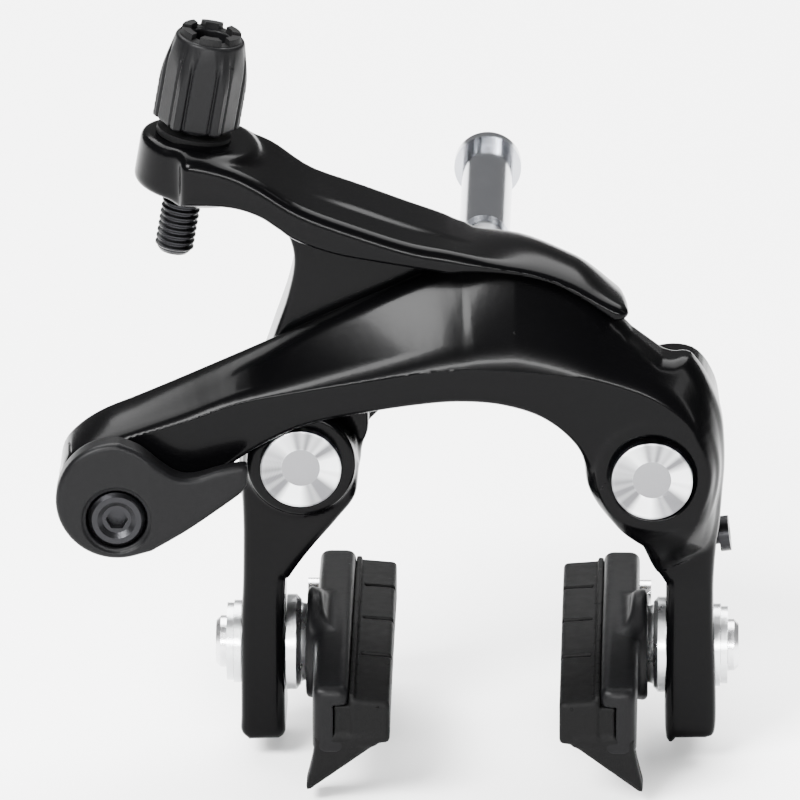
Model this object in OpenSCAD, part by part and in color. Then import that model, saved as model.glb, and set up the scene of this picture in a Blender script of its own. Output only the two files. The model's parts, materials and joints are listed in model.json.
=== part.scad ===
// Dual-pivot rim brake caliper, centre-bolt mounted.
// +X right as seen by someone facing the bicycle, +Y towards the frame, +Z up.
// Origin: axis of the fixing bolt at the rear seat of the bracket. Millimetres.

/* [Pivots] */
// Half the distance between the two pivots
pivot_x = 27; // [24:0.5:30]
// Height of the pivots below the fixing bolt
pivot_drop = 12; // [8:0.5:16]
// Radius of both pivot axles
axle_r = 4; // [3:0.25:5]

/* [Arms] */
// Front face of the long front arm
front_y = -36; // [-40:0.5:-32]
// Thickness of the front arm
arm_t = 12; // [9:0.5:14]
// Radius of the arc on which the arms pass each other
track_r = 32; // [31:0.1:35]

/* [Brake shoes] */
// Distance from the fixing bolt down to the shoe bolts
reach = 45; // [39:0.5:49]
// Clear gap between the two pad faces
pad_gap = 26; // [22:0.5:30]
// Length of the brake shoes
shoe_l = 55; // [45:1:60]
// Height travel of the shoe bolts in their slots, each way
slot_travel = 4; // [3:0.5:5]

/* [Mounting] */
// Nominal radius of the fixing bolt
bolt_r = 3; // [2.5:0.5:4]
// Radius of the recessed nut's sleeve
nut_r = 4; // [3.5:0.25:5]

/* [Quick release] */
// Centre of the quick-release cam, across
cam_x = -55; // [-60:0.5:-50]
// Centre of the quick-release cam, up
cam_z = -14.3; // [-18:0.1:-10]
// Offset of the cable anchor from the cam centre
cam_offset = 3; // [2:0.1:3.5]

/* [Cable adjuster] */
// Lean of the adjuster away from vertical
adj_lean = 9.6; // [5:0.1:12]
// Radius of the adjuster barrel
adj_r = 6.2; // [5.5:0.1:7]
// Thread pitch of the adjuster stem
adj_pitch = 1; // [0.75:0.25:1.25]

/* [Hidden] */
$fn = 64;
pz = -pivot_drop;
run = 0.04;
gap = 0.3;
back_y = -12;
boss_front_l = -30.2;
boss_front_r = -34.4;
bush_r = axle_r + 1.2;
layer_y = front_y + arm_t;
rear_t0 = layer_y + gap;
pad_y = -20;
leg_x = -36.4;
leg_t = 6.8;
adj_y = -22;
adj_base = [-44.4, adj_y, 34];
seal_t = 1;
boss_h = 9.6;
black = [0.09, 0.09, 0.1];
steel = [0.75, 0.76, 0.78];
rubber = [0.16, 0.16, 0.17];
bronze = [0.7, 0.5, 0.3];
plastic = [0.2, 0.2, 0.22];

// ---- helpers ----

// Smooth curve through the points p, n steps between neighbours (Catmull-Rom).
function ghost(p, i) =
    i < 0 ? 2 * p[0] - p[1] : i >= len(p) ? 2 * p[len(p) - 1] - p[len(p) - 2] : p[i];
function blend(a, b, c, d, t) =
    0.5 * (2 * b + (c - a) * t + (2 * a - 5 * b + 4 * c - d) * t * t
    + (3 * b - a - 3 * c + d) * t * t * t);
function curve(p, n) = [for (i = [0:len(p) - 2], k = [0:n - 1])
    blend(ghost(p, i - 1), p[i], p[i + 1], ghost(p, i + 2), k / n)];
function arc(x, z, r, a, b, n) =
    [for (k = [0:n]) [x + r * cos(a + (b - a) * k / n), z + r * sin(a + (b - a) * k / n)]];

// Plate with the front outline p (x, z), between two depths.
module plate(p, y0, y1)
    translate([0, y1, 0]) rotate([90, 0, 0]) linear_extrude(y1 - y0) polygon(p);

module ycyl(x, z, y0, y1, r)
    translate([x, y1, z]) rotate([90, 0, 0]) cylinder(h = y1 - y0, r = r);

module ycone(x, z, y0, y1, r0, r1)
    translate([x, y0, z]) rotate([-90, 0, 0]) cylinder(h = y1 - y0, r1 = r0, r2 = r1);

module xcyl(x0, x1, y, z, r)
    translate([x0, y, z]) rotate([0, 90, 0]) cylinder(h = x1 - x0, r = r);

module yring(x, z, y0, y1, r, hole)
    difference() {
        ycyl(x, z, y0, y1, r);
        ycyl(x, z, y0 - 1, y1 + 1, hole);
    }

module xring(x0, x1, y, z, r, hole)
    difference() {
        xcyl(x0, x1, y, z, r);
        xcyl(x0 - 1, x1 + 1, y, z, hole);
    }

module hex_hole(across, depth) cylinder(h = depth, r = across / sqrt(3), $fn = 6);

// Upright slot for a shoe bolt, cut through a leg along X.
module bolt_slot(x, w) {
    for (s = [-1, 1])
        xcyl(x - w / 2, x + w / 2, pad_y, -reach + s * slot_travel, bolt_r + 0.2);
    translate([x - w / 2, pad_y - bolt_r - 0.2, -reach - slot_travel])
        cube([w, 2 * bolt_r + 0.4, 2 * slot_travel]);
}

// ---- bracket and mounting ----

bridge = concat(
    arc(-pivot_x, pz, 7.2, 90, 270, 12),
    curve([[-20, -16], [-15, -9.6], [-8, -6.6], [0, -5.8], [8, -6.6], [15, -9.6], [20, -16]], 3),
    arc(pivot_x, pz, 7.2, -90, 90, 12),
    curve([[20, -2.5], [13, 4.6], [6, 8.4], [0, 9.4], [-6, 8.4], [-13, 4.6], [-20, -2.5]], 3));

module bracket() color(black) difference() {
    plate(bridge, -11, 0);
    ycyl(0, 0, -12, 1, bolt_r + 0.2);
    for (s = [-1, 1]) ycyl(s * pivot_x, pz, -12, 1, axle_r + run);
    ycyl(0, 0, -12, -7, 6);
    xcyl(-14, 14, spring_y, spring_z, spring_r + 0.1);
}

module fixing_bolt() color(steel) difference() {
    union() {
        ycyl(0, 0, -10.6, 60, bolt_r);
        ycyl(0, 0, -10.8, -7.1, 5.5);
        ycone(0, 0, 60, 61, bolt_r, bolt_r - 0.8);
    }
    translate([0, -8.2, 0]) rotate([90, 0, 0]) hex_hole(5, 4);
}

module toothed_washer() color(steel) difference() {
    ycyl(0, 0, 0.05, 1.45, 7.5);
    ycyl(0, 0, -1, 3, bolt_r + 0.2);
    for (a = [0:30:330]) rotate([0, a, 0]) translate([5.4, 1.05, -0.6]) cube([3, 1, 1.2]);
}

module recessed_nut() color(steel) difference() {
    union() {
        ycyl(0, 0, 39, 73, nut_r);
        ycyl(0, 0, 72, 74, 5.3);
    }
    ycyl(0, 0, 38, 62, bolt_r + run);
    translate([0, 75, 0]) rotate([90, 0, 0]) hex_hole(5, 9);
}

module pivot_axles() color(steel) {
    ycyl(-pivot_x, pz, boss_front_l - 0.3, -0.4, axle_r);
    ycyl(pivot_x, pz, boss_front_r - 0.3, -0.4, axle_r);
}

// Turned cap: a shallow cone round a flat middle.
module cap(x, y) difference() {
    union() {
        ycyl(x, pz, y - 1.3, y, 6.25);
        ycone(x, pz, y - 1.6, y - 1.3, 5.95, 6.25);
    }
    ycone(x, pz, y - 1.61, y - 0.9, 5.7, 2.9);
}

module pivot_caps() color(steel) {
    cap(-pivot_x, boss_front_l - 0.3);
    cap(pivot_x, boss_front_r - 0.3);
}

module thrust_washers() color(bronze)
    for (s = [-1, 1]) yring(s * pivot_x, pz, -11.8, -11.05, 7.6, axle_r + 0.1);

// Bent-wire return spring: through the bracket, over both pivots and down the backs of the legs.
spring_r = 0.9;
spring_y = -4.4;
spring_z = 6.4;
guide_x = 33.2;
guide_z = -36.4;
spring_path = [[-0.6, spring_z], [13, spring_z], [21.6, -0.4], [29, -3.4], [35.4, -8.6],
    [36, -15], [guide_x, -30], [guide_x, -42]];

module wire(a, b, r) {
    v = b - a;
    translate([a[0], spring_y, a[1]]) rotate([0, atan2(v[0], v[1]), 0])
        translate([0, 0, -0.6]) cylinder(h = norm(v) + 1.2, r = r);
}

module return_spring() color(steel)
    for (s = [-1, 1], i = [0:len(spring_path) - 2])
        wire([s * spring_path[i][0], spring_path[i][1]],
            [s * spring_path[i + 1][0], spring_path[i + 1][1]], spring_r - 0.04 * (i % 2));

// ---- front arm: the long arch, hung on the right pivot ----

underside = curve([[-49.5, -22.2], [-44, -16.6], [-38, -11.2], [-32.5, -7.4], [-26, -4.2],
    [-16, -1.9], [-7, -0.5], [-1.5, -0.2], [3.5, -0.6], [8.5, -2], [12.2, -4.2], [15.2, -7.3],
    [16.8, -10.6], [17.8, -15], [21.2, -20.2], [25, -24.2], [29, -26.8]], 4);

arch = concat(
    arc(cam_x, cam_z, 9.5, 185, 300, 14),
    underside,
    curve([[33.5, -27], [36.4, -25], [37.3, -17.2], [37.7, -9.4], [37.2, -4], [35.4, 1.4],
        [33.2, 4.8], [31.8, 5.6]], 4),
    [[30.4, 4.8]],
    arc(0, pz, track_r, 30, 94, 22),
    curve([[-4.6, 19.2], [-8.6, 17.8], [-15, 14.8], [-23, 11.2], [-30.7, 7.4], [-44, 1.2],
        [-52, -2.4], [-57.5, -4.8], [-61.3, -7.4], [-63.6, -10.4], [-64.46, -15.1]], 4));

right_leg = concat(
    curve([[18.4, -12], [20, -18], [24.8, -23.5], [27.6, -29], [29.2, -31.6], [29.6, -34],
        [29.6, -56], [30.8, -57.2]], 3),
    curve([[35.4, -57.2], [36.4, -56], [36.4, -48], [36, -36], [36.2, -28], [37.2, -17.2],
        [37.3, -9.4], [36.4, -3], [33, 1.6], [27, 1.6], [21, -3]], 3));

module front_arm() color(black) difference() {
    union() {
        plate(arch, front_y, layer_y);
        plate(right_leg, -28, back_y);
        ycyl(pivot_x, pz, boss_front_r, back_y, 8.6);
        ycyl(pivot_x, pz, -30, back_y, 9.4);
    }
    ycyl(pivot_x, pz, -37, back_y + 1, bush_r);
    ycyl(pivot_x, pz, front_y - 1, boss_front_r, 6.7);
    ycyl(cam_x, cam_z, front_y - 1, layer_y + 1, 6);
    bolt_slot(-leg_x - leg_t / 2, leg_t + 6);
    plate(strip(plate_r - 1.04, plate_r + 5, 0.1), -27.6, -24.6);
    translate([screw_x, pad_y, screw_z]) rotate([0, 83, 0]) cylinder(h = 12, r = 1.6);
    ycyl(guide_x, guide_z, back_y - 3.8, back_y + 1, 1.5);
}

module front_arm_bush() color(bronze)
    yring(pivot_x, pz, boss_front_r + 0.1, back_y, bush_r - 0.01, axle_r + run);

// The rear arm's roller, seen from the front arm, moves on this arc as both arms close.
roller_r = 1;
roller_a = 51;
roller_c = track_r + 0.15 + roller_r;
roller_x = roller_c * cos(roller_a);
roller_z = pz + roller_c * sin(roller_a);
close_a = 8;
function turned(v, a) = [v[0] * cos(a) - v[1] * sin(a), v[0] * sin(a) + v[1] * cos(a)];
function roller_at(a) = turned([roller_x + pivot_x, roller_z - pz], 2 * a)
    - turned([2 * pivot_x, 0], a) + [pivot_x, pz];
// Centre of the circle through three points.
function centre(a, b, c) =
    let (m = b - a, n = c - a, d = 2 * (m[0] * n[1] - m[1] * n[0]))
    a + [n[1] * (m * m) - m[1] * (n * n), m[0] * (n * n) - n[0] * (m * m)] / d;
track_c = centre(roller_at(0), roller_at(close_a / 2), roller_at(close_a));
plate_r = norm(roller_at(0) - track_c) - roller_r - 0.12;
function around_track(v) = atan2(v[1] - track_c[1], v[0] - track_c[0]);
track_a0 = around_track(roller_at(0)) - 2;
track_a1 = around_track(roller_at(close_a)) + 3;
function strip(r0, r1, extra) =
    concat(arc(track_c[0], track_c[1], r0, track_a0 - extra, track_a1 + extra, 12),
        arc(track_c[0], track_c[1], r1, track_a1 + extra, track_a0 - extra, 12));

// Hardened strip in the front arm on which the rear arm's roller runs.
module link_plate() color(steel) plate(strip(plate_r - 1, plate_r, 0), -27.5, -24.7);

// Block on the back of a leg, with a hole for the end of the spring.
module spring_guide() difference() {
    union() {
        translate([guide_x - 2.4, back_y + 0.02, guide_z - 4]) cube([4.8, 9.6, 8]);
        ycyl(guide_x, guide_z, back_y - 3.7, back_y + 1, 1.48);
    }
    translate([guide_x, spring_y, guide_z - 5]) cylinder(h = 10, r = spring_r + 0.1);
}

module front_spring_guide() color(plastic) spring_guide();

// Screw that sets the spring load and centres the pads.
screw_x = 28;
screw_z = -27.8;
module centring_screw() color(black) difference() {
    translate([screw_x, pad_y, screw_z]) rotate([0, 83, 0]) {
        cylinder(h = 9.4, r = 1.56);
        translate([0, 0, 9.4]) cylinder(h = 1.6, r = 2.75);
    }
    translate([screw_x, pad_y, screw_z]) rotate([0, 83, 0]) translate([0, 0, 10]) hex_hole(2, 3);
}

// ---- rear arm: upper bar, web and left leg, hung on the left pivot ----

pass_r = track_r + 0.5;
upper = concat(
    curve([[-44, 31], [-38, 30.7], [-33.6, 29.4], [-30.5, 27.4], [-28, 25.6], [-24, 24],
        [-20, 22.9], [-12, 21.5], [-5, 20.4]], 4),
    arc(0, pz, pass_r, 97, 45.5, 18),
    curve([[23.7, 11.6], [23.6, 12.8], [21.2, 15.4], [17.5, 18], [13.6, 20.2], [9.5, 22.4],
        [5.5, 23.6], [1, 23.9], [-4, 24.4], [-12, 26.8], [-18, 29.2], [-24, 32], [-31, 35.4],
        [-37, 36.6], [-44, 37.6]], 4));
// Behind this line the upper bar is lower.
upper_back_y = -26;
lowered = concat(
    curve([[-38, 36.2], [-31.7, 35], [-24.9, 31.1], [-12.6, 26.2], [-6, 23.8], [-2.4, 22.1],
        [6, 20.7], [12, 17.2], [25, 9]], 4),
    [[30, 40], [-38, 40]]);

web = concat(
    curve([[-22, -16], [-17.2, -10], [-16.6, -4], [-14, 6], [-9, 15], [-3, 22]], 4),
    curve([[-3, 21.6], [-12, 25], [-22, 28.6], [-32, 30], [-33, 27], [-29.5, 23.6], [-28.2, 19],
        [-29.2, 13], [-31.5, 6], [-34, -2], [-35.6, -10], [-35.6, -18], [-30, -20]], 4));

left_leg = concat(
    curve([[-35.2, -58.6], [-36.4, -57.2], [-36.4, -54], [-36.4, -40], [-36.1, -33], [-36, -24],
        [-36, -12], [-33, -6], [-27, -4], [-21, -7]], 3),
    curve([[-18.4, -13], [-18.7, -18], [-21.5, -22], [-25.6, -27], [-28.8, -31.6], [-29.6, -34],
        [-29.6, -54], [-29.6, -57.4], [-30.8, -58.6]], 3));

module adj_frame() translate(adj_base) rotate([0, adj_lean, 0]) children();

module rear_arm() color(black) difference() {
    union() {
        difference() {
            plate(upper, -33.4, -14);
            plate(lowered, upper_back_y, -13);
        }
        plate(web, rear_t0, back_y);
        difference() {
            union() {
                plate(left_leg, -28, back_y);
                ycyl(-pivot_x, pz, boss_front_l, back_y, 8.4);
            }
            plate(concat([for (v = underside) v + [0.4, -0.5]], [[0, 20], [-60, 20]]),
                front_y - 1, rear_t0);
        }
        adj_frame() translate([0.9, 0, 1.3 - boss_h / 2]) cylinder(h = boss_h - 1.3, r = 8.9);
    }
    adj_frame() translate([0, 0, -12]) cylinder(h = 24, r = 3 + run);
    ycyl(-pivot_x, pz, -32, back_y + 1, bush_r);
    bolt_slot(leg_x + leg_t / 2, leg_t + 6);
    ycyl(roller_x, roller_z, -27.4, -24.8, roller_r + 0.25);
    ycyl(roller_x, roller_z, -30.6, -22, 0.51);
    ycyl(-guide_x, guide_z, back_y - 3.8, back_y + 1, 1.5);
}

module rear_arm_bush() color(bronze)
    yring(-pivot_x, pz, boss_front_l + 0.1, back_y, bush_r - 0.01, axle_r + run);

module link_roller() color(steel) yring(roller_x, roller_z, -27.2, -25, roller_r, 0.54);

module link_pin() color(steel) ycyl(roller_x, roller_z, -30.5, -22.2, 0.5);

module rear_spring_guide() color(plastic) mirror([1, 0, 0]) spring_guide();

// ---- quick release and cable anchor ----

lever = concat(
    arc(cam_x, cam_z, 9.4, 88, 285, 26),
    curve([[-49.6, -22.5], [-44, -19.2], [-38, -15], [-35.6, -13.2]], 3),
    curve([[-35, -12], [-35, -9.4], [-35.8, -8.8], [-39.3, -9.5], [-43, -10.6], [-45.6, -10.5],
        [-48.2, -8.9], [-51.4, -6.3], [-54.6, -4.9]], 4));

anchor_z = cam_z - cam_offset;
lever_back = front_y - 0.3;
module quick_release_lever() color(black) difference() {
    union() {
        plate(lever, lever_back - 4.6, lever_back);
        ycyl(cam_x, cam_z, lever_back - 1, layer_y + 0.3, 5.96);
    }
    ycyl(cam_x, anchor_z, lever_back - 6, lever_back - 1.8, 4.8);
    ycyl(cam_x, anchor_z, lever_back - 6, layer_y + 2, 2.55);
    for (k = [0:3]) translate([-37.2 + k * 0.65, lever_back - 5, -9.4]) cube([0.3, 3, 1.4]);
}

module cable_anchor_bolt() color(black) difference() {
    union() {
        ycyl(cam_x, anchor_z, lever_back - 3.9, lever_back - 1.85, 4.35);
        ycone(cam_x, anchor_z, lever_back - 4.5, lever_back - 3.9, 3.8, 4.35);
        ycyl(cam_x, anchor_z, lever_back - 2, layer_y + 5.2, 2.5);
    }
    ycone(cam_x, anchor_z, lever_back - 4.6, lever_back - 3.9, 3.1, 2.2);
    translate([cam_x, lever_back - 2.2, anchor_z]) rotate([90, 0, 0]) hex_hole(3, 4);
}

module cable_clamp_plate() color(steel) difference() {
    union() {
        yring(cam_x, anchor_z, layer_y + 0.4, layer_y + 1.9, 5.4, 2.54);
        translate([cam_x + 2, layer_y + 0.4, anchor_z - 4]) cube([3.4, 1.5, 8]);
    }
    ycyl(cam_x, anchor_z, layer_y, layer_y + 3, 2.54);
    translate([cam_x + 3.3, layer_y + 1.9, anchor_z - 8]) cylinder(h = 16, r = 0.8);
}

module cable_clamp_nut() color(steel) difference() {
    union() {
        translate([cam_x, layer_y + 5.2, anchor_z]) rotate([90, 0, 0])
            cylinder(h = 2.9, r = 4.6, $fn = 6);
        ycyl(cam_x, anchor_z, layer_y + 1.95, layer_y + 2.7, 5.2);
    }
    ycyl(cam_x, anchor_z, layer_y, layer_y + 7, 2.5 + run);
}

// ---- cable adjuster ----

adj_foot = boss_h / 2 + 0.12;
module adjuster_seal() color(rubber) adj_frame() difference() {
    translate([0, 0, adj_foot]) cylinder(h = seal_t, r = adj_r - 0.4);
    cylinder(h = 20, r = 3 + run);
}

module adjuster_barrel() color(black) adj_frame() difference() {
    translate([0, 0, adj_foot + seal_t + 0.05]) union() {
        cylinder(h = 0.8, r = adj_r);
        translate([0, 0, 0.8]) cylinder(h = 8.8, r = adj_r - 0.1);
        translate([0, 0, 9.6]) cylinder(h = 4.6, r1 = adj_r - 0.1, r2 = adj_r - 1.1);
    }
    cylinder(h = 40, r = 3.02);
    for (a = [0:60:300], s = [-6, 6]) rotate([0, 0, a + 30 + s])
        translate([adj_r - 0.75, -0.3, adj_foot + seal_t + 1.6]) cube([2, 0.6, 20]);
}

module adjuster_top_ring() color(black) adj_frame() difference() {
    translate([0, 0, adj_foot + seal_t + 14.3]) cylinder(h = 2, r1 = adj_r - 1.15, r2 = 4.6);
    translate([0, 0, adj_foot + seal_t + 12]) cylinder(h = 10, r = 3.3);
    for (a = [0:60:300]) rotate([0, 0, a])
        translate([3, -0.7, adj_foot + seal_t + 15.4]) cube([4, 1.4, 2]);
}

module adjuster_stem() color(black) adj_frame() difference() {
    union() {
        translate([0, 0, -13.6]) cylinder(h = 32.6, r = 2.6);
        translate([0, 0, -14.1]) cylinder(h = 0.5, r1 = 2.2, r2 = 2.6);
        for (k = [0:18]) translate([0, 0, -13.4 + adj_pitch * k]) {
            cylinder(h = adj_pitch * 0.3, r1 = 2.6, r2 = 3);
            translate([0, 0, adj_pitch * 0.3]) cylinder(h = adj_pitch * 0.2, r = 3);
            translate([0, 0, adj_pitch * 0.5]) cylinder(h = adj_pitch * 0.3, r1 = 3, r2 = 2.6);
        }
        translate([0, 0, 5.7]) cylinder(h = 13.2, r = 3);
    }
    translate([0, 0, -15]) cylinder(h = 40, r = 1.2);
    translate([0, 0, 10.9]) cylinder(h = 10, r = 2.6);
}

// ---- brake shoes, built for the left side and mirrored ----

face_x = -pad_gap / 2;
holder_x = face_x - 6.3;
hub_x = holder_x - 7;
shoe_z = -45.4;
shoe_pitch = 2.5;
screw_dy = 21;

module pitched() translate([0, pad_y, -reach]) rotate([shoe_pitch, 0, 0])
    translate([0, -pad_y, reach]) children();

// Upright section (x, z) swept along the shoe on a gentle arc that follows the rim.
rim_r = 310;
module along_rim(section) {
    half = asin(shoe_l / 2 / rim_r);
    translate([0, pad_y, shoe_z - rim_r]) rotate([90, 0, 90]) rotate([0, 0, 90 - half])
        rotate_extrude(angle = 2 * half, $fn = 200)
            polygon([for (v = section) [rim_r + v[1], v[0]]]);
}

hub_r = 8.6;
module shoe_holder() color(black) pitched() difference() {
    union() {
        along_rim([[hub_x + 1.4, -4.8], [hub_x + 2.2, -5.6], [holder_x - 0.3, -5.6],
            [holder_x - 0.3, -2.9], [holder_x - 2.4, -2.9], [holder_x - 2.4, 2.9],
            [holder_x - 0.3, 2.9], [holder_x - 0.3, 5.6], [hub_x + 2.2, 5.6],
            [hub_x + 1.4, 4.8]]);
        translate([hub_x, pad_y, -reach]) rotate([0, 90, 0]) {
            cylinder(h = 0.8, r1 = hub_r - 0.5, r2 = hub_r);
            translate([0, 0, 0.8]) cylinder(h = 1.7, r1 = hub_r, r2 = hub_r - 1.8);
        }
    }
    // coned seat for the conical washer
    translate([hub_x - 0.5, pad_y, -reach]) rotate([0, 90, 0])
        cylinder(h = 1.65, r1 = 7.6, r2 = 5.95);
    xcyl(hub_x - 1, holder_x - 2.8, pad_y, -reach, bolt_r + 0.3);
    xcyl(hub_x - 1, holder_x, pad_y + screw_dy, shoe_z, 1.3);
}

beak = [[holder_x + 3, -5.4], [hub_x + 1.7, -5.9], [hub_x + 1.3, -8], [hub_x + 0.5, -12],
    [hub_x + 0.8, -12.8], [hub_x + 1.6, -12.5], [holder_x + 3.8, -6.6]];

module brake_pad() color(rubber) pitched() {
    difference() {
        along_rim([[holder_x - 2.2, -2.7], [holder_x, -2.7], [holder_x, -3.9], [face_x, -3.6],
            [face_x, 3.6], [holder_x, 3.9], [holder_x, 2.7], [holder_x - 2.2, 2.7]]);
        for (dy = [-11.5, 2, 15.5])
            translate([face_x - 2.4, pad_y + dy - 0.5, shoe_z - 6]) cube([3, 1, 12]);
        xcyl(hub_x - 1, holder_x + 2.8, pad_y + screw_dy, shoe_z, 1.1);
    }
    // wheel guide: a rubber beak under the front end, flared out and down
    translate([0, pad_y - shoe_l / 2 + 3, shoe_z - 1.1]) rotate([90, 0, 0])
        linear_extrude(3) polygon(beak);
    translate([holder_x + 0.1, pad_y - shoe_l / 2, shoe_z - 6.8]) cube([5.6, 3, 3.6]);
}

module pad_bolt() color(steel) difference() {
    union() {
        xcyl(leg_x - 3.9, holder_x - 2.9, pad_y, -reach, bolt_r - 0.02);
        xcyl(leg_x - 3.3, leg_x - 2.35, pad_y, -reach, 4);
        translate([leg_x - 4, pad_y, -reach]) rotate([0, 90, 0]) cylinder(h = 0.7, r1 = 3.3, r2 = 4);
    }
    translate([leg_x - 4.1, pad_y, -reach]) rotate([0, 90, 0]) hex_hole(4, 2.6);
}

module outer_washers() color(steel) {
    xring(leg_x - 1.2, leg_x - 0.1, pad_y, -reach, 6.4, bolt_r + 0.05);
    xring(leg_x - 2.3, leg_x - 1.25, pad_y, -reach, 6, bolt_r + 0.05);
}

inner_x = leg_x + leg_t + 0.15;
domed_t = 2.2;
module domed_washer() color(steel) difference() {
    union() {
        xring(inner_x, inner_x + domed_t - 0.7, pad_y, -reach, 7.4, bolt_r + 0.05);
        translate([inner_x + domed_t - 0.7, pad_y, -reach]) rotate([0, 90, 0])
            cylinder(h = 0.7, r1 = 7.4, r2 = 6.6);
    }
    xcyl(inner_x - 1, inner_x + 4, pad_y, -reach, bolt_r + 0.05);
}

module conical_washer() color(steel) difference() {
    translate([inner_x + domed_t + 0.05, pad_y, -reach]) rotate([0, 90, 0])
        cylinder(h = hub_x + 1.05 - inner_x - domed_t, r1 = 6.2, r2 = 5.5);
    xcyl(inner_x - 1, hub_x + 4, pad_y, -reach, bolt_r + 0.05);
}

module pad_screw() color(steel) pitched() difference() {
    union() {
        xcyl(hub_x - 0.4, hub_x + 1.35, pad_y + screw_dy, shoe_z, 1.9);
        xcyl(hub_x + 1, holder_x + 2.6, pad_y + screw_dy, shoe_z, 1.08);
    }
    translate([hub_x - 0.5, pad_y + screw_dy, shoe_z]) rotate([0, 90, 0]) hex_hole(2, 1.2);
}

module right_shoe() mirror([1, 0, 0]) children();

bracket();
fixing_bolt();
toothed_washer();
recessed_nut();
pivot_axles();
pivot_caps();
thrust_washers();
return_spring();
front_arm();
front_arm_bush();
link_plate();
front_spring_guide();
rear_arm();
rear_arm_bush();
link_roller();
link_pin();
rear_spring_guide();
quick_release_lever();
cable_anchor_bolt();
cable_clamp_plate();
cable_clamp_nut();
adjuster_seal();
adjuster_barrel();
adjuster_stem();
adjuster_top_ring();
centring_screw();
shoe_holder();  // left_shoe_holder
brake_pad();  // left_brake_pad
pad_bolt();  // left_pad_bolt
outer_washers();  // left_outer_washers
conical_washer();  // left_conical_washer
domed_washer();  // left_domed_washer
pad_screw();  // left_pad_screw
right_shoe() shoe_holder();  // right_shoe_holder
right_shoe() brake_pad();  // right_brake_pad
right_shoe() pad_bolt();  // right_pad_bolt
right_shoe() outer_washers();  // right_outer_washers
right_shoe() conical_washer();  // right_conical_washer
right_shoe() domed_washer();  // right_domed_washer
right_shoe() pad_screw();  // right_pad_screw
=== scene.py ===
"""Looks of the rim brake caliper: sculpted arms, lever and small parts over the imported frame."""
import json
import math

import bpy
import numpy as np
from mathutils import Matrix, Vector


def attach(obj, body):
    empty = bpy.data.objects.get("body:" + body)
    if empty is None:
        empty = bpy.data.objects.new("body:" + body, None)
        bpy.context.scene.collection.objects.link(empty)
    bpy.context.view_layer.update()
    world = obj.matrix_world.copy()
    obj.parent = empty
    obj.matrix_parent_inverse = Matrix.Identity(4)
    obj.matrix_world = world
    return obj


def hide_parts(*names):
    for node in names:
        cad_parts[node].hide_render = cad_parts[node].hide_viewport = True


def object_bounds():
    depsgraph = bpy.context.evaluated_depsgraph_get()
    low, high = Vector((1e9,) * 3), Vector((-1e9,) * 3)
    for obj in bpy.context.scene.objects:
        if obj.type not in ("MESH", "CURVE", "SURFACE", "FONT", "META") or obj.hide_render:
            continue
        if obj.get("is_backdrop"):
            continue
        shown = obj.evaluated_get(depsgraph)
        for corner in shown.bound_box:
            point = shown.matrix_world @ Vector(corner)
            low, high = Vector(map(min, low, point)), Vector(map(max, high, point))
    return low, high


# Sizes are in millimetres in the brake's frame: x to the right, y backwards, z up.
MM = 0.001
PIVOT = (27.0, -12.0)
PIVOT_BORE = 5.2
TRACK_R = 32.0
ARM_FRONT = -36
ARM_MIDDLE = -24
ARM_BACK = -12
LEG_FRONT = -28
BAR_Y = (-33.4, -14)

# Quick release: its cam's centre, and the height of the cable anchor set off-centre in it.
CAM = (-55.0, -14.3)
ANCHOR_Z = -17.3

# Adjuster: its lean, the middle of its boss, and the height of the barrel's foot above that.
ADJ_LEAN = math.radians(9.6)
ADJ_BASE = np.array([-44.4, -22.0, 34.0])
ADJ_FOOT = 5.97
BARREL_R = 6.25

# Shoes: the slot's middle is at REACH below the centre bolt; x values are for the left shoe.
REACH = 45.0
PAD_Y = -20.0
SLOT_R = 3.2
SLOT_TRAVEL = 4
FACE_X = -13.0
HOLDER_X = -19.3
HUB_X = -26.3
HUB_R = 8.6
SHOE_Z = -45.4
SHOE_HALF = 27.5
SHOE_PITCH = math.radians(2.5)
RIM_R = 310.0
GROOVES = (-11.5, 2, 15.5)

CAP_R = 6.25
CAP_FACES = (-30.5, -34.7)

FINE = 0.36
LEVER_CELL = 0.3
SHOE_CELL = 0.33
BARREL_CELL = 0.22

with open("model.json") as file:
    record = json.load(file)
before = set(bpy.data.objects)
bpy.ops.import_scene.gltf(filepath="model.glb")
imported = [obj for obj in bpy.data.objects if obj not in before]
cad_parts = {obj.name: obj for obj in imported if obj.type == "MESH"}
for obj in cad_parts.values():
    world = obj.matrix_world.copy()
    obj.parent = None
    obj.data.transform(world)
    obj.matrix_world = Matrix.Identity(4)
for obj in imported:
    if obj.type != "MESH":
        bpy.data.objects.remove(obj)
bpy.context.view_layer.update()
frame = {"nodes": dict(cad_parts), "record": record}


# ---------- curves ----------

def curve(points, steps):
    """Smooth curve through the points (Catmull-Rom)."""
    p = np.array(points, float)
    p = np.vstack([2 * p[0] - p[1], p, 2 * p[-1] - p[-2]])
    out = []
    for i in range(1, len(p) - 2):
        a, b, c, d = p[i - 1:i + 3]
        for t in np.arange(steps) / steps:
            out.append(0.5 * (2 * b + (c - a) * t + (2 * a - 5 * b + 4 * c - d) * t ** 2
                              + (3 * b - a - 3 * c + d) * t ** 3))
    return out


def arc(centre, radius, start, end, steps):
    """Points of an arc, in degrees."""
    turns = np.radians(np.linspace(start, end, steps + 1))
    return [(centre[0] + radius * math.cos(t), centre[1] + radius * math.sin(t)) for t in turns]


# ---------- distance fields, in millimetres, negative inside ----------

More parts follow.
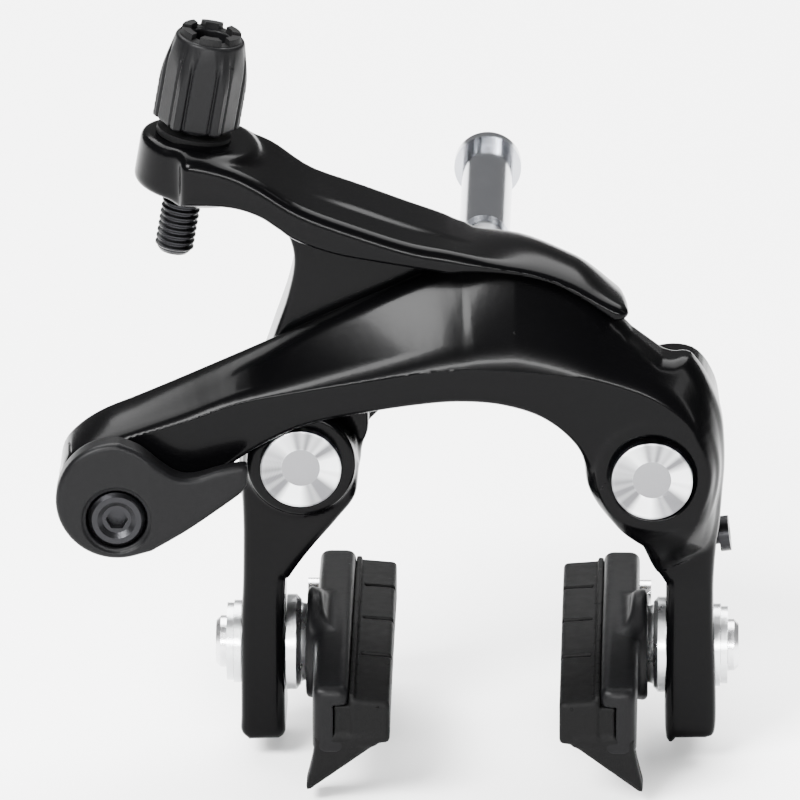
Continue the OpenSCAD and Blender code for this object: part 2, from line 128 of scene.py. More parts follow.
def outline_distance(x, z, outline):
    """Signed distance from (x, z) to a closed outline."""
    p = np.array(outline, float)
    q = np.roll(p, -1, axis=0)
    best = np.full(x.shape, 1e9)
    inside = np.zeros(x.shape, bool)
    for (ax, az), (bx, bz) in zip(p, q):
        ex, ez = bx - ax, bz - az
        length = ex * ex + ez * ez
        if length < 1e-12:
            continue
        wx, wz = x - ax, z - az
        t = np.clip((wx * ex + wz * ez) / length, 0, 1)
        best = np.minimum(best, (wx - t * ex) ** 2 + (wz - t * ez) ** 2)
        if az != bz:
            crosses = (az > z) != (bz > z)
            inside ^= crosses & (wx < wz * ex / ez)
    best = np.sqrt(best)
    return np.where(inside, -best, best)


def line_height(x, z, line):
    """Signed distance to an open line, positive on its left as it runs."""
    p = np.array(line, float)
    best = np.full(x.shape, 1e9)
    side = np.ones(x.shape)
    for (ax, az), (bx, bz) in zip(p[:-1], p[1:]):
        ex, ez = bx - ax, bz - az
        wx, wz = x - ax, z - az
        t = np.clip((wx * ex + wz * ez) / (ex * ex + ez * ez), 0, 1)
        d = (wx - t * ex) ** 2 + (wz - t * ez) ** 2
        closer = d < best
        best = np.where(closer, d, best)
        side = np.where(closer, np.sign(ex * wz - ez * wx), side)
    return np.sqrt(best) * np.where(side == 0, 1, side)


def side_view(measure, x, z, line):
    """Side-view measure at every point. All the Y layers of a grid share one plane of values."""
    if x.ndim == 3:
        return measure(x[:, 0, :], z[:, 0, :], line)[:, None, :]
    return measure(x, z, line)


def both(a, b, k):
    """Intersection with the edge rounded over k."""
    h = np.maximum(k - np.abs(a - b), 0) / k
    return np.maximum(a, b) + h * h * k / 4


def either(a, b, k):
    """Union with a fillet of about k."""
    return -both(-a, -b, k)


def minus(a, b, k=0.3):
    """Cut b out of a with the edge rounded over k."""
    return both(a, -b, k)


def layer(y, low, high):
    """Slab between two planes."""
    return np.maximum(low - y, y - high)


def cylinder_y(x, y, z, cx, cz, r, low, high, k=0.4):
    return both(np.hypot(x - cx, z - cz) - r, layer(y, low, high), k)


def shoe_slot(x, y, z, low, high):
    """Upright slot for a pad bolt, through a leg."""
    dz = z + REACH
    dz = dz - np.clip(dz, -SLOT_TRAVEL, SLOT_TRAVEL)
    return both(np.hypot(y - PAD_Y, dz) - SLOT_R, layer(x, low, high), 0.3)


# ---------- mesher ----------

def sculpt(name, field, low, high, step):
    """Closed, even mesh of a distance field: one vertex in each cell that the surface crosses."""
    low, high = np.array(low, float) - 1.5 * step, np.array(high, float) + 1.5 * step
    count = np.ceil((high - low) / step).astype(int) + 1
    axes = [low[i] + step * np.arange(count[i]) for i in range(3)]
    f = field(*np.meshgrid(*axes, indexing="ij"))
    inside = f < 0
    mixed = np.zeros(tuple(count - 1), bool)
    first = inside[:-1, :-1, :-1]
    for i in (0, 1):
        for j in (0, 1):
            for k in (0, 1):
                corner = inside[i:i + count[0] - 1, j:j + count[1] - 1, k:k + count[2] - 1]
                mixed |= corner != first
    index = np.full(mixed.shape, -1)
    index[mixed] = np.arange(mixed.sum())
    cells = np.argwhere(mixed)
    p = low + (cells + 0.5) * step
    for _ in range(3):
        value = field(p[:, 0], p[:, 1], p[:, 2])
        slope = np.stack([(field(*(p + e).T) - value) / 0.02
                          for e in np.eye(3) * 0.02], axis=1)
        size = np.maximum((slope ** 2).sum(1), 0.2)
        p = p - np.clip(value / size, -step, step)[:, None] * slope
    quads = []
    for axis in range(3):
        a = inside.take(range(count[axis] - 1), axis)
        b = inside.take(range(1, count[axis]), axis)
        u, v = (axis + 1) % 3, (axis + 2) % 3
        for entering in (True, False):
            at = np.argwhere((a & ~b) if entering else (~a & b))
            at = at[(at[:, [u, v]] > 0).all(1) & (at[:, [u, v]] < count[[u, v]] - 1).all(1)]
            du, dv = np.eye(3, dtype=int)[u], np.eye(3, dtype=int)[v]
            ring_with_painted_highlights = [at, at - du, at - du - dv, at - dv]
            if not entering:
                ring_with_painted_highlights = ring_with_painted_highlights[::-1]
            quads.append(np.stack([index[tuple(r.T)] for r in ring_with_painted_highlights], axis=1))
    quads = np.concatenate(quads)
    return mesh_object(name, p, quads)


def mesh_object(name, points, faces):
    """Smooth-shaded mesh from millimetre points and equal-sized faces."""
    points = np.asarray(points, float)
    faces = np.asarray(faces)
    mesh = bpy.data.meshes.new(name)
    mesh.vertices.add(len(points))
    mesh.vertices.foreach_set("co", (points * MM).ravel())
    mesh.loops.add(faces.size)
    mesh.loops.foreach_set("vertex_index", faces.ravel())
    mesh.polygons.add(len(faces))
    mesh.polygons.foreach_set("loop_start", np.arange(len(faces)) * faces.shape[1])
    mesh.update(calc_edges=True)
    mesh.polygons.foreach_set("use_smooth", np.ones(len(faces), bool))
    mesh.validate()
    made = bpy.data.objects.new(name, mesh)
    bpy.context.scene.collection.objects.link(made)
    return made


# ---------- front arm ----------

UNDERSIDE = curve([(-49.5, -22.2), (-44, -16.6), (-38, -11.2), (-32.5, -7.4), (-26, -4.2),
                   (-16, -1.9), (-7, -0.5), (-1.5, -0.2), (3.5, -0.6), (8.5, -2), (12.2, -4.2),
                   (15.2, -7.3), (16.8, -10.6), (17.8, -15), (21.2, -20.2), (25, -24.2),
                   (29, -26.8)], 6)

LEFT_EDGE = curve([(-4.6, 19.2), (-8.6, 17.8), (-15, 14.8), (-23, 11.2), (-30.7, 7.4),
                   (-44, 1.2), (-52, -2.4), (-57.5, -4.8), (-61.3, -7.4), (-63.6, -10.4),
                   (-64.36, -15.1)], 6)

TOP_EDGE = (curve([(33.5, -27), (36.4, -25), (37.3, -17.2), (37.7, -9.4), (37.2, -4),
                   (35.4, 1.4), (33.2, 4.8), (31.8, 5.5), (30.2, 5.4), (28.2, 5.9)], 6)
            + arc((0, -12), TRACK_R, 42, 94, 36)
            + LEFT_EDGE)

ARCH = (arc(CAM, 9.4, 185, 300, 24)
        + UNDERSIDE
        + TOP_EDGE)

RIGHT_LEG = (curve([(18.4, -12), (20, -18), (24.8, -23.5), (27.6, -29), (29.2, -31.6),
                    (29.6, -34), (29.6, -56), (30.8, -57.2)], 5)
             + curve([(35.4, -57.2), (36.4, -56), (36.4, -48), (36, -36), (36.2, -28),
                      (37.2, -17.2), (37.3, -9.4), (36.4, -3), (33, 1.6), (27, 1.6),
                      (21, -3)], 5))

CREASE = curve([(-62, -9), (-52, -5.6), (-44, -3), (-36.5, -0.2), (-27, 1.7), (-17.6, 3.3),
                (-8, 4.9), (-1.8, 5.5), (4.4, 5.3), (12.9, 4.7), (18.3, 3.9), (25, 1.8),
                (30, -1), (33.3, -4.5), (35.4, -9.9), (35.6, -13.1), (34.4, -18), (32, -24),
                (30, -32)], 4)

# The upper face leans back towards this line, which passes over the notch at the shoulder.
LEAN_EDGE = (curve([(33.5, -27), (36.4, -25), (37.3, -17.2), (37.7, -9.4), (37.2, -4), (35.4, 1.4),
                    (32.9, 4.9), (30, 7.4), (26.6, 9.2), (23, 10.6)], 6)
             + arc((0, -12), TRACK_R, 46, 94, 40)
             + LEFT_EDGE)

# Centre of the arc along which the roller runs in its pocket.
TRACK_C = (2.965, -8.546)


def front_arm_field(x, y, z):
    """Arch with two front faces that meet in the crease, right leg, pivot boss and holes."""
    arch = side_view(outline_distance, x, z, ARCH)
    leg = side_view(outline_distance, x, z, RIGHT_LEG)
    rise = side_view(line_height, x, z, CREASE)
    below = np.maximum(side_view(line_height, x, z, LEAN_EDGE), 0)
    climb = np.maximum(rise, 0)
    depth = 9.6 - 1.8 * np.clip((x + 2) / 8, 0, 1)
    # Under the pivot the front falls back, smoothly, to the front of the leg.
    drop = np.where(x > 10, np.clip((-19 - z) / 14, 0, 1), 0)
    drop = (LEG_FRONT - ARM_FRONT) * drop * drop * (3 - 2 * drop)
    upper = ARM_FRONT + drop + (depth - drop) * climb / (climb + below + 0.8)
    tilt = np.hypot(1, depth / (climb + below + 0.8))
    lower = ARM_FRONT + drop - (0.16 - 0.02 * drop) * rise
    front = both((upper - y) / tilt, (lower - y) / 1.02, 3)
    body = both(np.minimum(arch, leg), np.maximum(front, y - ARM_MIDDLE), 1.6)
    strut = both(leg, layer(y, LEG_FRONT, ARM_BACK), 1.6)
    out = either(body, strut, 2)
    # Pivot boss, then the cap's recess, pivot bore, quick-release bore, shoe slot and roller pocket.
    px, pz = PIVOT
    out = either(out, cylinder_y(x, y, z, px, pz, 9.4, -31, ARM_BACK, 1), 2.5)
    out = either(out, cylinder_y(x, y, z, px, pz, 8.6, -34.4, ARM_BACK, 0.8), 1.2)
    out = both(out, y - ARM_BACK, 1)
    out = minus(out, cylinder_y(x, y, z, px, pz, 6.7, -40, -34.4), 0.5)
    out = minus(out, cylinder_y(x, y, z, px, pz, PIVOT_BORE, -40, -10))
    out = minus(out, cylinder_y(x, y, z, *CAM, 6, -40, -20))
    out = minus(out, shoe_slot(x, y, z, 20, 42))
    track = np.hypot(x - TRACK_C[0], z - TRACK_C[1])
    turn = np.degrees(np.arctan2(z - TRACK_C[1], x - TRACK_C[0]))
    pocket = np.maximum(np.maximum(26.4 - track, track - 32.5), layer(y, -27.6, -24.6))
    return minus(out, np.maximum(pocket, np.abs(turn - 61.5) * 0.5 - 6.2))


# ---------- rear arm ----------

UPPER = (curve([(-45.2, 31), (-38, 30.7), (-33.6, 29.4), (-30.5, 27.4), (-28, 25.6), (-24, 24),
                (-20, 22.9), (-12, 21.5), (-5, 20.4)], 6)
         + arc((0, -12), TRACK_R + 0.5, 97, 49.5, 34)
         + [(22.3, 12.9), (23.5, 13.7), (24.2, 15.2), (24.2, 26), (0, 40), (-45.2, 44)])

# Top of the upper bar along its front edge and along its back edge.
BAR_FRONT = curve([(-50, 38.8), (-44, 38.6), (-38, 37.2), (-33.3, 34.9), (-26.7, 30.8),
                   (-17.4, 27.3), (-9.7, 24.9), (-2, 23.5), (7.2, 20.6), (13.4, 18.1),
                   (18.6, 16.2), (22.6, 15), (26, 14)], 5)
BAR_BACK = curve([(-50, 38.6), (-44, 38.6), (-37, 37.6), (-31.7, 35.7), (-24.9, 31.1),
                  (-12.6, 26.2), (-6, 23.8), (-2.4, 22.1), (6, 20.7), (12, 17.2), (18.6, 13.4),
                  (26, 9)], 5)

WEB = (curve([(-22, -16), (-17.2, -10), (-16.6, -4), (-14, 6), (-9, 15), (-3, 20)], 5)
       + curve([(-3, 21.4), (-12, 24.6), (-22, 28), (-32, 29), (-33, 27), (-29.5, 23.6),
                (-28.2, 19), (-29.2, 13), (-31.5, 6), (-34, -2), (-35.6, -10), (-35.6, -18),
                (-30, -20)], 5))

LEFT_LEG = (curve([(-35.2, -58.6), (-36.4, -57.2), (-36.4, -54), (-36.4, -40), (-36.1, -33),
                   (-36, -24), (-36, -12), (-33, -6), (-27, -4), (-21, -7)], 5)
            + curve([(-18.4, -13), (-18.7, -18), (-21.5, -22), (-25.6, -27), (-28.8, -31.6),
                     (-29.6, -34), (-29.6, -54), (-29.6, -57.4), (-30.8, -58.6)], 5))

# The arch passes in front of the left leg: nothing of the leg stands above this line.
PASSING = [(x + 0.4, z - 0.5) for x, z in UNDERSIDE] + [(0, 20), (-60, 20)]


def adjuster_frame(x, y, z):
    """Coordinates round the leaning adjuster: across, depth, along."""
    dx, dy, dz = x - ADJ_BASE[0], y - ADJ_BASE[1], z - ADJ_BASE[2]
    c, s = math.cos(ADJ_LEAN), math.sin(ADJ_LEAN)
    return dx * c - dz * s, dy, dx * s + dz * c


def rear_arm_field(x, y, z):
    """Upper bar, web, left leg with its eye kept behind the arch, adjuster boss and holes."""
    upper = side_view(outline_distance, x, z, UPPER)
    web = side_view(outline_distance, x, z, WEB)
    leg = side_view(outline_distance, x, z, LEFT_LEG)
    above = side_view(outline_distance, x, z, PASSING)
    front = side_view(line_height, x, z, BAR_FRONT)
    back = side_view(line_height, x, z, BAR_BACK)
    t = np.clip((y - BAR_Y[0]) / (BAR_Y[1] - BAR_Y[0]), 0, 1)
    swell = 3 * np.exp(-((x - 15) / np.where(x < 15, 11, 7)) ** 2) * 4 * t * (1 - t)
    top = front * (1 - t) + back * t - swell
    bar = both(upper, layer(y, *BAR_Y), 1.6)
    bar = both(bar, top, 2)
    plate = both(web, layer(y, -23.7, ARM_BACK), 1.2)
    out = either(bar, plate, 3)
    passing = np.maximum(above - 0.1, y + 23.75)
    out = either(out, minus(both(leg, layer(y, LEG_FRONT, ARM_BACK), 1.8), passing), 2.5)
    px, pz = -PIVOT[0], PIVOT[1]
    eye = cylinder_y(x, y, z, px, pz, 8.4, -30.2, ARM_BACK, 1)
    out = either(out, minus(eye, passing), 1.5)
    u, v, w = adjuster_frame(x, y, z)
    boss = both(np.hypot(u - 0.9, v) - 8.9, np.abs(w - 0.65) - 4.15, 1.6)
    out = either(out, boss, 2.4)
    out = both(out, y - ARM_BACK, 1)
    out = minus(out, np.hypot(u, v) - 3.04)
    out = minus(out, cylinder_y(x, y, z, px, pz, PIVOT_BORE, -40, -10))
    return minus(out, shoe_slot(x, y, z, -42, -20))


# ---------- quick-release lever ----------

LEVER = (arc(CAM, 9.4, 88, 285, 40)
         + curve([(-49.6, -22.5), (-44, -19.2), (-38, -15), (-35.6, -13.2)], 6)
         + curve([(-35, -12), (-35, -9.4), (-35.8, -8.8), (-39.3, -9.5), (-43, -10.6),
                  (-45.6, -10.5), (-48.2, -8.9), (-51.4, -6.3), (-54.6, -4.9)], 6))


def lever_field(x, y, z):
    """Lever on its cam, with a well for the cable anchor and a hole through."""
    shape = side_view(outline_distance, x, z, LEVER)
    fall = 0.1 * np.maximum(x + 50, 0)
    face = (-40.9 + fall - y) / 1.01
    out = both(shape, np.maximum(face, y + 36.3), 1.1)
    out = either(out, cylinder_y(x, y, z, *CAM, 5.96, -38, -23.7), 0.3)
    well = np.hypot(x - CAM[0], z - ANCHOR_Z)
    out = minus(out, np.maximum(well - 4.7, y + 38.1), 0.4)
    out = minus(out, np.maximum(well - 5.3, y + 40.5), 0.3)
    return minus(out, well - 2.55)


# ---------- brake shoe, left side ----------

BEAK = [(-15.4, -50.4), (-20, -50), (-24.6, -50.4), (-24.6, -52), (-25, -54.8), (-25.9, -58.9),
        (-25.8, -59.6), (-25.2, -59.5), (-15.2, -51.6)]


def shoe_frame(x, y, z):
    """Coordinates along the shoe: across, along (0 in the middle), up from its curved axis."""
    c, s = math.cos(SHOE_PITCH), math.sin(SHOE_PITCH)
    dy, dz = y - PAD_Y, z + REACH
    along, up = dy * c + dz * s, dz * c - dy * s
    up = up - (SHOE_Z + REACH)
    return x, along, np.hypot(along, up + RIM_R) - RIM_R


def holder_field(x, y, z):
    """Curved channel for the pad, with a flared hub and a coned seat for the washer."""
    u, v, w = shoe_frame(x, y, z)
    ends = np.abs(v) - SHOE_HALF
    body = both(np.maximum(HUB_X + 1.4 - u, u - HOLDER_X), np.abs(w) - 5.6, 1.6)
    body = both(body, ends, 1.8)
    radius = np.hypot(y - PAD_Y, z + REACH)
    flare = (radius - HUB_R + 0.35 * np.maximum(u - HUB_X - 0.8, 0)) / 1.06
    hub = both(flare, np.maximum(HUB_X - u, u - HUB_X - 2.6), 0.9)
    out = either(body, hub, 2.6)
    seat = radius - 7.1 + (u - HUB_X)
    out = minus(out, np.maximum(seat, u - HUB_X - 1.2), 0.3)
    out = minus(out, np.maximum(np.abs(w) - 2.9, HOLDER_X - 2.4 - u), 0.2)
    return minus(out, np.maximum(radius - 3.3, u - HOLDER_X + 2.9), 0.2)


def pad_field(x, y, z):
    """Grooved pad with its lip and tongue, and the fin that guides a wheel in."""
    u, v, w = shoe_frame(x, y, z)
    ends = np.abs(v) - SHOE_HALF
    taper = np.abs(w) - 3.9 + 0.08 * (u - HOLDER_X)
    block = both(both(taper, np.maximum(HOLDER_X + 0.02 - u, u - FACE_X), 0.8), ends, 0.9)
    lip = both(np.abs(w) - 4.5, np.maximum(HOLDER_X + 0.02 - u, u - HOLDER_X - 0.9), 0.3)
    block = either(block, both(lip, ends + 0.6, 0.4), 0.3)
    tongue = both(np.abs(w) - 2.7, np.maximum(HOLDER_X - 2.2 - u, u - HOLDER_X - 1), 0.3)
    out = np.minimum(block, np.maximum(tongue, ends + 0.3))
    for groove in GROOVES:
        cut = np.maximum(np.abs(v - groove) - 0.42, HOLDER_X + 1.6 - u)
        out = minus(out, np.maximum(cut, 1.9 - np.abs(w) - np.maximum(u - FACE_X + 2.4, 0)), 0.25)
    fin = side_view(outline_distance, x, z, BEAK)
    bowl = -47.2 - 0.16 * (z + 51) - y
    fin = both(fin, np.maximum(bowl, y + 43.4 + 0.3 * (z + 50)), 0.9)
    return either(out, fin, 0.9)


# ---------- adjuster barrel ----------

def barrel_field(x, y, z):
    """Six-sided barrel with grooved ribs on its corners, drawn in towards the top."""
    u, v, w = adjuster_frame(x, y, z)
    foot = ADJ_FOOT + 0.05 + 1
    radius = np.hypot(u, v)
    turn = np.arctan2(v, u)
    wave = np.abs(((turn + math.pi / 6) % (math.pi / 3)) - math.pi / 6) * 6.1
    flat = radius * np.cos(math.pi / 6 - wave / 6.1) - 5.85
    rib = np.maximum(radius - BARREL_R, wave - 0.85)
    side = either(flat, rib, 0.25)
    side = minus(side, np.maximum(np.abs(wave - 1.15) - 0.22, 5.8 - radius), 0.15)
    shoulder = (radius - 6.2 + 0.24 * (w - foot - 10.4)) / 1.03
    out = both(side, shoulder, 0.5)
    out = both(out, np.maximum(foot - w, w - foot - 14.2), 0.5)
    return minus(out, radius - 3.05)


# ---------- turned caps ----------

def lathe(name, profile, place, turns):
    """Closed solid of revolution about Y from (radius, depth) in millimetres, placed at place."""
    rings = [(r, y) for r, y in profile if r > 0]
    points = []
    for r, y in rings:
        for k in range(turns):
            a = 2 * math.pi * k / turns
            points.append((r * math.cos(a), y, r * math.sin(a)))
    faces = []
    for i in range(len(rings) - 1):
        for k in range(turns):
            n = (k + 1) % turns
            faces.append((i * turns + k, i * turns + n, (i + 1) * turns + n, (i + 1) * turns + k))
    mesh = bpy.data.meshes.new(name)
    last = (len(rings) - 1) * turns
    ends = [list(range(turns))[::-1], list(range(last, last + turns))]
    mesh.from_pydata([[c * MM for c in p] for p in points], [], faces + ends)
    for polygon in mesh.polygons:
        polygon.use_smooth = len(polygon.vertices) == 4
    made = bpy.data.objects.new(name, mesh)
    made.location = [c * MM for c in place]
    bpy.context.scene.collection.objects.link(made)
    return made


def turned_cap(name, x, y):
    """Cap with a coned ring round a flat middle, rounded at its rim."""
    rim = [(CAP_R - 0.3 * (1 - math.cos(a)), -1.3 - 0.3 * math.sin(a))
           for a in np.radians([0, 20, 40, 60, 80])]
    cone = [(5.75, -1.6), (5.6, -1.56), (4.3, -1.25), (3.15, -0.98), (3.0, -0.93), (2.9, -0.95),
            (1.2, -0.95)]
    return lathe(name, [(1.2, 0), (CAP_R, 0)] + rim + cone, (x, y, PIVOT[1]), 96)


# ---------- build the sculpted pieces ----------

front_arm = sculpt("front_arm_body", front_arm_field, (-65, -36.4, -58), (38.4, -11.8, 22), FINE)
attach(front_arm, "front_arm")
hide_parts("front_arm")

rear_arm = sculpt("rear_arm_body", rear_arm_field, (-54, -34, -58.6), (25, -11.8, 42), FINE)
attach(rear_arm, "rear_arm")
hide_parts("rear_arm")

lever = sculpt("lever_body", lever_field, (-65, -41.2, -24.2), (-34.6, -23.4, -4.4), LEVER_CELL)
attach(lever, "quick_release")
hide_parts("quick_release_lever")

barrel = sculpt("barrel_body", barrel_field, (-52, -29, 37), (-32, -15, 58), BARREL_CELL)
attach(barrel, "adjuster")
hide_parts("adjuster_barrel")

caps = [turned_cap("left_cap", -PIVOT[0], CAP_FACES[0]),
        turned_cap("right_cap", PIVOT[0], CAP_FACES[1])]
for cap in caps:
    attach(cap, "mount")
    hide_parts("pivot_caps")


def shoe_part(kind, field, low, high, node):
    """Left piece from its field, and the right one as its mirror image."""
    pieces = [sculpt("left_" + kind, field, low, high, SHOE_CELL)]
    mesh = pieces[0].data.copy()
    mesh.transform(Matrix.Diagonal((-1, 1, 1, 1)))
    mesh.flip_normals()
    pieces.append(bpy.data.objects.new("right_" + kind, mesh))
    bpy.context.scene.collection.objects.link(pieces[1])
    for side, piece in zip(("left", "right"), pieces):
        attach(piece, side + "_shoe")
        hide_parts(side + "_" + node)
    return pieces


holders = shoe_part("holder_body", holder_field, (-27, -49, -55), (-19, 9, -35), "shoe_holder")
pads = shoe_part("pad_body", pad_field, (-26.2, -49, -60), (-12.6, 9, -38), "brake_pad")


# ---------- materials ----------

def material(name):
    """New material and its shader node."""
    made = bpy.data.materials.new(name)
    made.use_nodes = True
    return made, made.node_tree.nodes["Principled BSDF"]


def wire(made, source, output, target, socket):
    """Link one node's output to another's input."""
    made.node_tree.links.new(source.outputs[output], target.inputs[socket])


def shader(made, kind, **values):
    """New node; each value goes to the input of that name, or else to the node's own setting."""
    node = made.node_tree.nodes.new(kind)
    for key, value in values.items():
        socket = key.replace("_", " ")
        if socket in node.inputs:
            node.inputs[socket].default_value = value
        else:
            setattr(node, key, value)
    return node


def finish_surface(made, bsdf, scale, rough_low, rough_high, bump):
    """Roughness variation and a fine bump from the object's own coordinates."""
    where = shader(made, "ShaderNodeTexCoord")
    wide = shader(made, "ShaderNodeTexNoise", Scale=scale * 0.12, Detail=4.0)
    fine = shader(made, "ShaderNodeTexNoise", Scale=scale, Detail=6.0)
    wire(made, where, "Object", wide, "Vector")
    wire(made, where, "Object", fine, "Vector")
    spread = shader(made, "ShaderNodeMapRange")
    spread.inputs["To Min"].default_value = rough_low
    spread.inputs["To Max"].default_value = rough_high
    wire(made, wide, "Fac", spread, "Value")
    wire(made, spread, "Result", bsdf, "Roughness")
    relief = shader(made, "ShaderNodeBump", Strength=bump, Distance=0.0002)
    wire(made, fine, "Fac", relief, "Height")
    wire(made, relief, "Normal", bsdf, "Normal")


def gloss_black():
    made, bsdf = material("gloss_black")
    bsdf.inputs["Base Color"].default_value = (0.0006, 0.0006, 0.0007, 1)
    bsdf.inputs["Specular IOR Level"].default_value = 0.038
    bsdf.inputs["Coat Weight"].default_value = 0.02
    bsdf.inputs["Coat Roughness"].default_value = 0.08
    finish_surface(made, bsdf, 900, 0.17, 0.26, 0.04)
    return made


def satin_black():
    made, bsdf = material("satin_black")
    bsdf.inputs["Base Color"].default_value = (0.0018, 0.0018, 0.002, 1)
    bsdf.inputs["Specular IOR Level"].default_value = 0.07
    finish_surface(made, bsdf, 4000, 0.34, 0.46, 0.12)
    return made


def metal(name, colour, low, high, bump):
    made, bsdf = material(name)
    bsdf.inputs["Base Color"].default_value = (*colour, 1)
    bsdf.inputs["Metallic"].default_value = 1.0
    finish_surface(made, bsdf, 3000, low, high, bump)
    return made


def turned_metal():
    """Circular brushing round the object's own Y axis, plain and grainy in the middle disc; painted
    highlights: the ring's colour swings between dark and bright wedges with the angle round the
    axis.
    """
    made, bsdf = material("turned_aluminium")
    bsdf.inputs["Metallic"].default_value = 1.0
    where = shader(made, "ShaderNodeTexCoord")
    flat = shader(made, "ShaderNodeVectorMath", operation="MULTIPLY")
    flat.inputs[1].default_value = (1, 0, 1)
    wire(made, where, "Object", flat, 0)
    radius = shader(made, "ShaderNodeVectorMath", operation="LENGTH")
    wire(made, flat, "Vector", radius, 0)
    outside = shader(made, "ShaderNodeMath", operation="GREATER_THAN")
    outside.inputs[1].default_value = 0.00295
    wire(made, radius, "Value", outside, 0)
    way = shader(made, "ShaderNodeVectorMath", operation="NORMALIZE")
    wire(made, flat, "Vector", way, 0)
    # Painted highlight: noise of the direction round the axis paints bright and dark wedges into the
    # ring's colour, standing in for the lamps' highlights on the turned ring.
    painted_highlight_noise = shader(made, "ShaderNodeTexNoise", Scale=1.7, Detail=1.0)
    wire(made, way, "Vector", painted_highlight_noise, "Vector")
    painted_highlight_wedges = shader(made, "ShaderNodeMapRange")
    painted_highlight_wedges.inputs["From Min"].default_value = 0.38
    painted_highlight_wedges.inputs["From Max"].default_value = 0.62
    wire(made, painted_highlight_noise, "Fac", painted_highlight_wedges, "Value")
    # Inputs 6 and 7 of a colour mix are its two colours, and output 2 is the mixed colour.
    ring_with_painted_highlights = shader(made, "ShaderNodeMix", data_type="RGBA")
    ring_with_painted_highlights.inputs[6].default_value = (0.1, 0.1, 0.105, 1)
    ring_with_painted_highlights.inputs[7].default_value = (0.62, 0.63, 0.64, 1)
    wire(made, painted_highlight_wedges, "Result", ring_with_painted_highlights, 0)
    colour = shader(made, "ShaderNodeMix", data_type="RGBA")
    colour.inputs[6].default_value = (0.13, 0.13, 0.135, 1)
    wire(made, outside, "Value", colour, 0)
    made.node_tree.links.new(ring_with_painted_highlights.outputs[2], colour.inputs[7])
    made.node_tree.links.new(colour.outputs[2], bsdf.inputs["Base Color"])
    brushed = shader(made, "ShaderNodeMath", operation="MULTIPLY")
    brushed.inputs[1].default_value = 0.85
    wire(made, outside, "Value", brushed, 0)
    wire(made, brushed, "Value", bsdf, "Anisotropic")
    around = shader(made, "ShaderNodeTangent", direction_type="RADIAL", axis="Y")
    wire(made, around, "Tangent", bsdf, "Tangent")
    rings = shader(made, "ShaderNodeTexWave", wave_type="RINGS", rings_direction="Y",
                   Scale=1400.0, Distortion=1.5, Detail=3.0)
    wire(made, where, "Object", rings, "Vector")
    grain = shader(made, "ShaderNodeTexNoise", Scale=2500.0, Detail=5.0)
    wire(made, where, "Object", grain, "Vector")
    # Inputs 2 and 3 of a number mix are its two numbers.
    relief = shader(made, "ShaderNodeMix", data_type="FLOAT")
    wire(made, outside, "Value", relief, 0)
    wire(made, grain, "Fac", relief, 2)
    wire(made, rings, "Fac", relief, 3)
    bump = shader(made, "ShaderNodeBump", Strength=0.25, Distance=0.00012)
    wire(made, relief, 0, bump, "Height")
    wire(made, bump, "Normal", bsdf, "Normal")
    rough = shader(made, "ShaderNodeMapRange")
    rough.inputs["To Min"].default_value = 0.26
    rough.inputs["To Max"].default_value = 0.4
    wire(made, grain, "Fac", rough, "Value")
    wire(made, rough, "Result", bsdf, "Roughness")
    return made


def rubber(name, shade):
    made, bsdf = material(name)
    bsdf.inputs["Base Color"].default_value = (shade, shade, shade * 1.03, 1)
    bsdf.inputs["Specular IOR Level"].default_value = 0.06
    finish_surface(made, bsdf, 5000, 0.5, 0.68, 0.25)
    return made


LOOKS = {
    "gloss_black": gloss_black(),
    "satin_black": satin_black(),
    "turned_aluminium": turned_metal(),
    "zinc_steel": metal("zinc_steel", (0.62, 0.63, 0.64), 0.22, 0.36, 0.1),
    "stainless": metal("stainless", (0.66, 0.66, 0.67), 0.2, 0.34, 0.1),
    "dark_chrome": metal("dark_chrome", (0.36, 0.37, 0.4), 0.08, 0.16, 0.05),
    "blackened_steel": metal("blackened_steel", (0.014, 0.014, 0.015), 0.3, 0.42, 0.15),
    "bearing_bronze": metal("bearing_bronze", (0.6, 0.42, 0.22), 0.35, 0.5, 0.2),
    "pad_rubber": rubber("pad_rubber", 0.0013),
    "seal_rubber": rubber("seal_rubber", 0.002),
    "black_plastic": rubber("black_plastic", 0.003),
}

slots = {row["node"]: row["material_slot"] for row in frame["record"]["subparts"]}


def dress(piece, name):
    """Give a sculpted piece its material and slot."""
    piece.data.materials.clear()
    piece.data.materials.append(LOOKS[name])


# The CAD's own nodes keep their meshes and get a material and softly broken edges.
for node, piece in frame["nodes"].items():
    piece.data.materials.clear()
    piece.data.materials.append(LOOKS[slots[node]])
    edge = piece.modifiers.new("edge", "BEVEL")
    edge.width = 0.25 * MM
    edge.segments = 3
    edge.limit_method = "ANGLE"
    edge.angle_limit = math.radians(35)
    edge.harden_normals = True
dress(front_arm, "gloss_black")
dress(rear_arm, "gloss_black")
dress(lever, "satin_black")
dress(barrel, "satin_black")
for cap in caps:
    dress(cap, "turned_aluminium")
for piece in holders:
    dress(piece, "satin_black")
for piece in pads:
    dress(piece, "pad_rubber")


# ---------- studio ----------

def softbox(name, place, aim, size, power):
    """Area lamp turned towards a point."""
    lamp = bpy.data.lights.new(name, "AREA")
    lamp.shape = "RECTANGLE"
    lamp.size, lamp.size_y = size
    lamp.energy = power
    made = bpy.data.objects.new(name, lamp)
    made.location = place
    made.rotation_euler = (Vector(aim) - Vector(place)).to_track_quat("-Z", "Y").to_euler()
    bpy.context.scene.collection.objects.link(made)


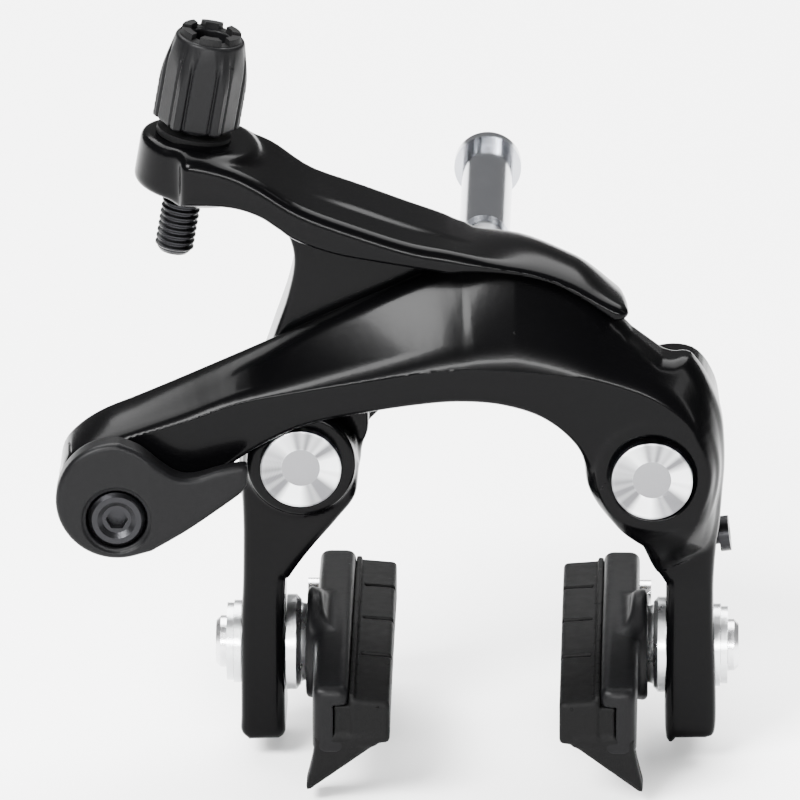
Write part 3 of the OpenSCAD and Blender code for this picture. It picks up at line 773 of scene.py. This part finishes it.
def studio():
    """Pale floor just under the brake, even pale surroundings and four soft lamps."""
    floor_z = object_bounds()[0].z - 0.002
    bpy.ops.mesh.primitive_plane_add(size=6, location=(0, 1.2, floor_z))
    floor = bpy.context.object
    floor.name = "floor"
    made, bsdf = material("floor")
    bsdf.inputs["Base Color"].default_value = (0.92, 0.92, 0.92, 1)
    bsdf.inputs["Roughness"].default_value = 0.8
    bsdf.inputs["Specular IOR Level"].default_value = 0.1
    floor.data.materials.append(made)
    floor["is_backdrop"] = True
    world = bpy.data.worlds.new("studio")
    bpy.context.scene.world = world
    world.use_nodes = True
    world.node_tree.nodes["Background"].inputs["Color"].default_value = (1, 1, 1, 1)
    world.node_tree.nodes["Background"].inputs["Strength"].default_value = 0.35
    softbox("overhead", (0, 0.9, 1.5), (0, 0.6, 0), (2.2, 1.6), 180)
    softbox("key", (-0.62, -0.75, 0.85), (-0.02, 0, 0), (0.7, 0.45), 80)
    softbox("strip", (0, -0.9, 0.24), (0, 0, 0), (0.7, 0.06), 18)
    softbox("edge", (0.75, -0.2, 0.5), (0, 0, 0), (0.1, 0.6), 3)


def camera():
    """Long lens in front of the brake, a little above it."""
    turn, tilt = math.radians(1.19), math.radians(20.5)
    right = Vector((math.cos(turn), math.sin(turn), 0))
    up = Vector((-math.sin(turn) * math.sin(tilt), math.cos(turn) * math.sin(tilt),
                 math.cos(tilt)))
    back = Vector((math.sin(turn) * math.cos(tilt), -math.cos(turn) * math.cos(tilt),
                   math.sin(tilt)))
    target = right * -0.0124 + up * -0.0116
    distance = 3.0
    # The arms are 20 mm in front of the origin, and the picture is 123 mm wide there.
    arms_ahead = 0.02
    seen_width = 0.8 / 6.5
    lens = bpy.data.cameras.new("camera")
    lens.sensor_width = 36
    lens.lens = lens.sensor_width / seen_width * (distance - arms_ahead)
    made = bpy.data.objects.new("camera", lens)
    made.location = target + back * distance
    made.rotation_euler = back.to_track_quat("Z", "Y").to_euler()
    bpy.context.scene.collection.objects.link(made)
    bpy.context.scene.camera = made


studio()
camera()
